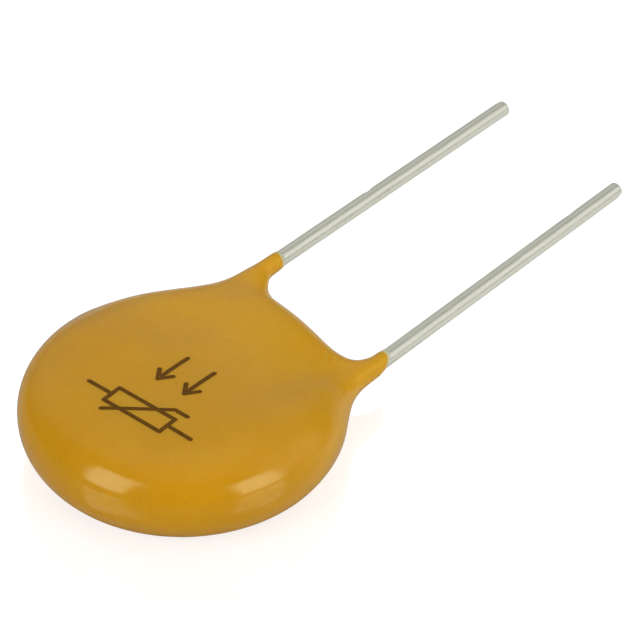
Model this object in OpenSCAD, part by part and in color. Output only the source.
// Resettable fuse with two radial leads. A polymer chip sits between two foils, a tinned wire is
// soldered to each foil, and a dipped coat of epoxy covers them and runs out along both wires.
// The part lies on the flat underside of its coat, with the leads along +Y.

/* [Chip] */
// Diameter of the polymer chip and of the foils on its faces
chip_d = 7.8; // [7.2:0.1:9]
// Thickness of the polymer chip
chip_t = 0.3; // [0.24:0.02:0.5]
// Thickness of each nickel foil
foil_t = 0.035; // [0.02:0.005:0.05]

/* [Leads] */
// Spacing of the two leads
lead_pitch = 5.1; // [4.6:0.1:5.4]
// Diameter of the tinned wire
wire_d = 0.53; // [0.46:0.01:0.62]
// Thickness of the tin, which the soldered run has lost to the solder
tin_t = 0.01; // [0.006:0.001:0.015]
// Distance from the chip's axis to the tips
lead_reach = 18.55; // [14:0.05:30]
// Length of each wire past the chip's axis
lead_tail = 1.6; // [1:0.1:2]
// Turn of the soldered run from the free run, in degrees
lead_toe = 1; // [0.8:0.1:2]
// Rounding of the cut tip
tip_round = 0.08; // [0.04:0.01:0.12]
// Depth of the nip that the cutter leaves beside the tip
nip_depth = 0.12; // [0.04:0.01:0.14]
// Slope of the nip, in degrees
nip_slope = 14; // [8:1:20]
// Turn of the nip around the wire, in degrees
nip_turn = 35; // [0:5:90]

/* [Solder] */
// Film of solder between wire and foil
solder_film = 0.02; // [0.01:0.005:0.05]
// Radius of the hollow fillet beside the wire
fillet_r = 0.3; // [0.24:0.02:0.4]
// Thickness of solder at the fillet's edges
fillet_edge = 0.03; // [0.02:0.01:0.06]

/* [Coat] */
// Thickness of the coated body
body_t = 3.2; // [2.8:0.1:3.8]
// Epoxy past the chip's rim
coat_rim = 1.23; // [1:0.01:1.6]
// Width of the rolled shoulder
shoulder_w = 2.1; // [1.6:0.1:2.6]
// Squareness of the shoulder, where 2 is an ellipse
shoulder_power = 2.3; // [2:0.1:2.8]
// Height of the sag that the flat underside takes off
foot_sag = 0.005; // [0.004:0.001:0.02]

/* [Collars] */
// Distance from the chip's axis to the coat's end on the left lead
left_collar = 7.05; // [6.8:0.05:8]
// Distance from the chip's axis to the coat's end on the right lead
right_collar = 6.5; // [6.4:0.05:8]
// Slant of the coat's end on the left lead, in degrees
left_slant = 5; // [0:1:30]
// Slant of the coat's end on the right lead, in degrees
right_slant = 28; // [0:1:30]
// Epoxy around the wire where a collar ends
collar_skin = 0.04; // [0.03:0.01:0.08]
// How far the coat reaches past the rim between the leads
web_rise = 0.07; // [0:0.01:0.2]
// Width of that web as a share of the lead spacing
web_span = 0.75; // [0.6:0.05:0.85]
// Distance from the chip's axis to where the necks start
neck_start = 3.4; // [2.8:0.1:3.8]
// How much wider than a collar a neck starts, on each side
neck_flare = 0.2; // [0.1:0.05:0.5]
// How fast a neck narrows, where 1 is even
neck_bell = 2; // [1:0.1:3]
// Roundness of a neck's crown at its start
neck_crown = 0.5; // [0.3:0.05:0.8]
// Reach over which rim and necks flow together
neck_flow = 0.95; // [0.7:0.05:1.2]
// Reach over which the web flows into them
web_flow = 1.4; // [1:0.1:1.5]

/* [Thinning toward the collars] */
// Where the top starts to fall, from the chip's axis
top_start = -0.5; // [-1.5:0.1:1.5]
// Where the underside starts to rise, from the chip's axis
under_start = 3; // [2.6:0.1:3.4]
// Where the coat would run out between the leads, from the chip's axis
thin_far = 9; // [8:0.1:11]
// Where the coat's middle starts to leave the chip's for the wires'
split_start = 1; // [0.5:0.1:2]

/* [Hidden] */
$fn = 48;
mid_z = body_t / 2;
wire_r = wire_d / 2;
core_wire_r = wire_r - tin_t;
coat_r = chip_d / 2 + coat_rim;
collar_r = wire_r + collar_skin;
// Height of a wire's axis from the chip's middle
lead_z = chip_t / 2 + foil_t + solder_film + core_wire_r;
lead_x = lead_pitch / 2;
// How far the tinned run reaches into the coat, and how far the bare run reaches into it
tin_start = 0.3;
tin_lap = 0.2;
// Half width of the solder on the foil, where its fillet meets the foil and the wire
fillet_x = sqrt(pow(core_wire_r + fillet_r, 2) - pow(core_wire_r + solder_film - fillet_r, 2));
// The solder stops inside the foil's rim and short of the wire's end
rim_margin = 0.1;
end_margin = 0.2;
solder_front = sqrt(max(1, pow(chip_d / 2 - rim_margin, 2) - pow(lead_x + fillet_x, 2)));
solder_back = lead_tail - end_margin;
// Edge of the web between the leads
web_y = coat_r + web_rise;
// Rows of the coat in half of the body, rows along a neck and collar, and points around each row
fan_n = 24;
neck_n = 14;
ring_n = 36;
// The last body row: its angle on the rim, from +X, and its place on the web as a share of lead_x
root_angle = 46;
root_share = 0.6;
// Shares of a neck by which its rows have turned, moved to the wire and shrunk to its width
turned_by = 0.8;
moved_by = 0.5;
shrunk_by = 0.67;
// Spacing of a neck's rows, where 1 is even and less is wider at the root
row_spacing = 0.9;
// Search past a row's half length, as a factor and a length, and its number of halvings
search_over = 1.25;
search_more = 0.5;
halvings = 17;

function collar_end(s) = s < 0 ? left_collar : right_collar;
function end_slant(s) = s < 0 ? left_slant : right_slant;
function ease(t) = let (u = min(max(t, 0), 1)) u * u * (3 - 2 * u);
function mix(a, b, t) = a + (b - a) * t;

// Two outlines run together where their gaps are about the same
function run_in(a, b, flow) =
    let (h = max(flow - abs(a - b), 0) / flow)
    min(a, b) - h * h * flow / 4;
// Gap in plan from a point to the outline of each form, negative inside
function rim_gap(p) = norm([p.x, p.y]) - coat_r;
function web_gap(p) = max(p.y - web_y, abs(p.x) - web_span * lead_x, -p.y);
function neck_gap(p, s) =
    let (t = ease((p.y - neck_start) / (collar_end(s) - neck_start)))
    let (half = collar_r + neck_flare * pow(1 - t, neck_bell))
    let (crown = neck_crown * (1 - t))
    norm([p.x - s * lead_x, min(p.y - neck_start, 0), crown]) - norm([half, crown]);
function outline_gap(p) =
    let (rim_and_left = run_in(rim_gap(p), neck_gap(p, -1), neck_flow))
    let (rim_and_necks = run_in(rim_and_left, neck_gap(p, 1), neck_flow))
    run_in(rim_and_necks, web_gap(p), web_flow);

// Place between the leads, from -1 at the left one to 1 at the right one
function across(x) = sin(90 * min(max(x / lead_x, -1), 1));
// Height of the coat's middle from the chip's middle
function middle_z(p) =
    -across(p.x) * lead_z * ease((p.y - split_start) / (coat_r - split_start));
// Share of the way from the full body at start to a collar's end
function thinning(p, start) =
    let (a = across(p.x))
    let (end = mix(thin_far, mix(left_collar, right_collar, (a + 1) / 2), a * a))
    ease((p.y - start) / (end - start));
// Gap from a point to the coat, measured from the chip's middle and negative inside
function coat_gap(p) =
    let (mid = middle_z(p))
    let (on_top = p.z > mid)
    let (t = thinning(p, on_top ? top_start : under_start))
    let (height = mix(on_top ? mid_z : mid_z + mid, collar_r, t))
    let (w = mix(shoulder_w, collar_r, t))
    let (n = mix(shoulder_power, 2, t))
    let (a = max(outline_gap(p) + w, 0) / w)
    let (b = abs(p.z - mid) / height)
    (pow(pow(a, n) + pow(b, n), 1 / n) - 1) * min(height, w);

// Point at m times d from c, with its height measured from the coat's middle
function from_middle(c, d, m) =
    let (q = [c.x + m * d.x, c.y + m * d.y])
    [q.x, q.y, middle_z(q) + m * d.z];
// How far along d the coat's surface lies from c, which is inside the coat
function reach(c, d, hi, lo = 0, n = halvings) =
    let (m = (lo + hi) / 2)
    n == 0 ? m
        : coat_gap(from_middle(c, d, m)) < 0 ? reach(c, d, hi, m, n - 1)
        : reach(c, d, m, lo, n - 1);

// A row crosses the coat from its inner edge, between the leads, to its outer edge.
// It holds its middle, its direction in plan and the half length to search.
function fan_row(s, u) =
    let (a = mix(-90, root_angle, u))
    let (outer = coat_r * [s * cos(a), sin(a)])
    let (inner = [s * root_share * lead_x * u, web_y])
    [(outer + inner) / 2, outer - inner, norm(outer - inner) / 2];
function neck_row(s, v) =
    let (root = fan_row(s, 1))
    let (end = [s * cos(end_slant(s)), -sin(end_slant(s))])
    let (turn = ease(v / turned_by))
    let (y = mix(root[0].y, collar_end(s), pow(v, row_spacing)))
    [[mix(root[0].x, s * lead_x, ease(v / moved_by)), y],
     mix(root[1] / norm(root[1]), end, turn),
     mix(root[2], wire_d, ease(v / shrunk_by))];

// The coat's outline in the upright plane of a row
function ring(row) =
    let (c = row[0])
    let (along = concat(row[1] / norm(row[1]), 0))
    let (up = [0, 0, 1])
    let (far = row[2] * search_over + search_more)
    let (out = reach(c, along, far), in = reach(c, -along, far))
    let (top = reach(c, up, far), under = reach(c, -up, far))
    [for (k = [0 : ring_n - 1])
        let (t = 360 * k / ring_n)
        let (q = along * cos(t) * (cos(t) > 0 ? out : in) + up * sin(t) * (sin(t) > 0 ? top : under))
        let (d = q / norm(q))
        from_middle(c, d, reach(c, d, far))];

// One closed skin, swept from the left collar's end around the body to the right collar's end
module coat_skin() {
    rings = concat(
        [for (i = [neck_n : -1 : 1]) ring(neck_row(-1, i / neck_n))],
        [for (i = [fan_n : -1 : 0]) ring(fan_row(-1, i / fan_n))],
        [for (i = [1 : fan_n]) ring(fan_row(1, i / fan_n))],
        [for (i = [1 : neck_n]) ring(neck_row(1, i / neck_n))]);
    last = len(rings) - 1;
    sides = [for (i = [0 : last - 1], k = [0 : ring_n - 1])
        let (n = (k + 1) % ring_n)
        [i * ring_n + k, i * ring_n + n, (i + 1) * ring_n + n, (i + 1) * ring_n + k]];
    ends = [[for (k = [ring_n - 1 : -1 : 0]) k], [for (k = [0 : ring_n - 1]) last * ring_n + k]];
    polyhedron([for (r = rings, p = r) p], concat(sides, ends), convexity = 6);
}

// Places what is drawn for a wire above the chip at +X: on top at the left, below at the right
module side(s) {
    translate([0, 0, mid_z])
        mirror(s < 0 ? [1, 0, 0] : [0, 0, 1])
            children();
}

// Frame of a bare run, with its origin where the tinned run starts and the run along -Y
module run_frame(s) {
    translate([lead_x, collar_end(s) - tin_start, lead_z])
        rotate([0, 0, -lead_toe])
            children();
}

// The tinned run, with a rounded tip and a nip on one side of it
module tinned_run(s) {
    free = lead_reach - collar_end(s) + tin_start;
    difference() {
        translate([lead_x, collar_end(s) - tin_start, lead_z])
            rotate([-90, 0, 0])
                rotate_extrude() {
                    square([wire_r, free - tip_round]);
                    square([wire_r - tip_round, free]);
                    translate([wire_r - tip_round, free - tip_round])
                        circle(tip_round);
                }
        translate([lead_x, lead_reach, lead_z])
            rotate([0, -nip_turn, 0])
                translate([wire_r - nip_depth, 0, 0])
                    rotate([0, 0, nip_slope])
                        translate([0, -2, -1])
                            cube([1, 4, 2]);
    }
}

module wire(s) {
    tinned_run(s);
    run_frame(s)
        translate([0, tin_lap, 0])
            rotate([90, 0, 0])
                cylinder(r = core_wire_r, h = tin_lap + collar_end(s) - tin_start + lead_tail);
}

// Solder fills the corner on both sides of the wire and the film below it
module fillet(s) {
    run_frame(s)
        translate([0, solder_front + tin_start - collar_end(s), 0])
            rotate([90, 0, 0])
                linear_extrude(solder_front + solder_back)
                    difference() {
                        translate([-fillet_x, -core_wire_r - solder_film])
                            square([2 * fillet_x, fillet_r]);
                        for (m = [-1, 1])
                            translate([m * fillet_x, fillet_r - core_wire_r - solder_film])
                                circle(fillet_r - fillet_edge);
                        circle(core_wire_r);
                    }
}

module chip() {
    translate([0, 0, mid_z - chip_t / 2])
        cylinder(d = chip_d, h = chip_t);
}

module foil(s) {
    translate([0, 0, s < 0 ? mid_z + chip_t / 2 : mid_z - chip_t / 2 - foil_t])
        cylinder(d = chip_d, h = foil_t);
}

module epoxy_coat() {
    color([0.77, 0.57, 0.16])
        difference() {
            translate([0, 0, mid_z - foot_sag])
                coat_skin();
            translate([-coat_r, -coat_r, -1])
                cube([2 * coat_r, 2 * coat_r, 1]);
            chip();
            for (s = [-1, 1]) {
                foil(s);
                side(s) fillet(s);
                side(s) wire(s);
            }
        }
}

module polymer_chip() {
    color([0.13, 0.13, 0.14])
        chip();
}

module top_foil() {
    color([0.70, 0.68, 0.62])
        foil(-1);
}

module bottom_foil() {
    color([0.70, 0.68, 0.62])
        foil(1);
}

module left_lead() {
    color([0.74, 0.74, 0.70])
        side(-1) wire(-1);
}

module right_lead() {
    color([0.74, 0.74, 0.70])
        side(1) wire(1);
}

module left_solder() {
    color([0.60, 0.60, 0.60])
        side(-1) fillet(-1);
}

module right_solder() {
    color([0.60, 0.60, 0.60])
        side(1) fillet(1);
}

epoxy_coat();
polymer_chip();
top_foil();
bottom_foil();
left_lead();
right_lead();
left_solder();
right_solder();
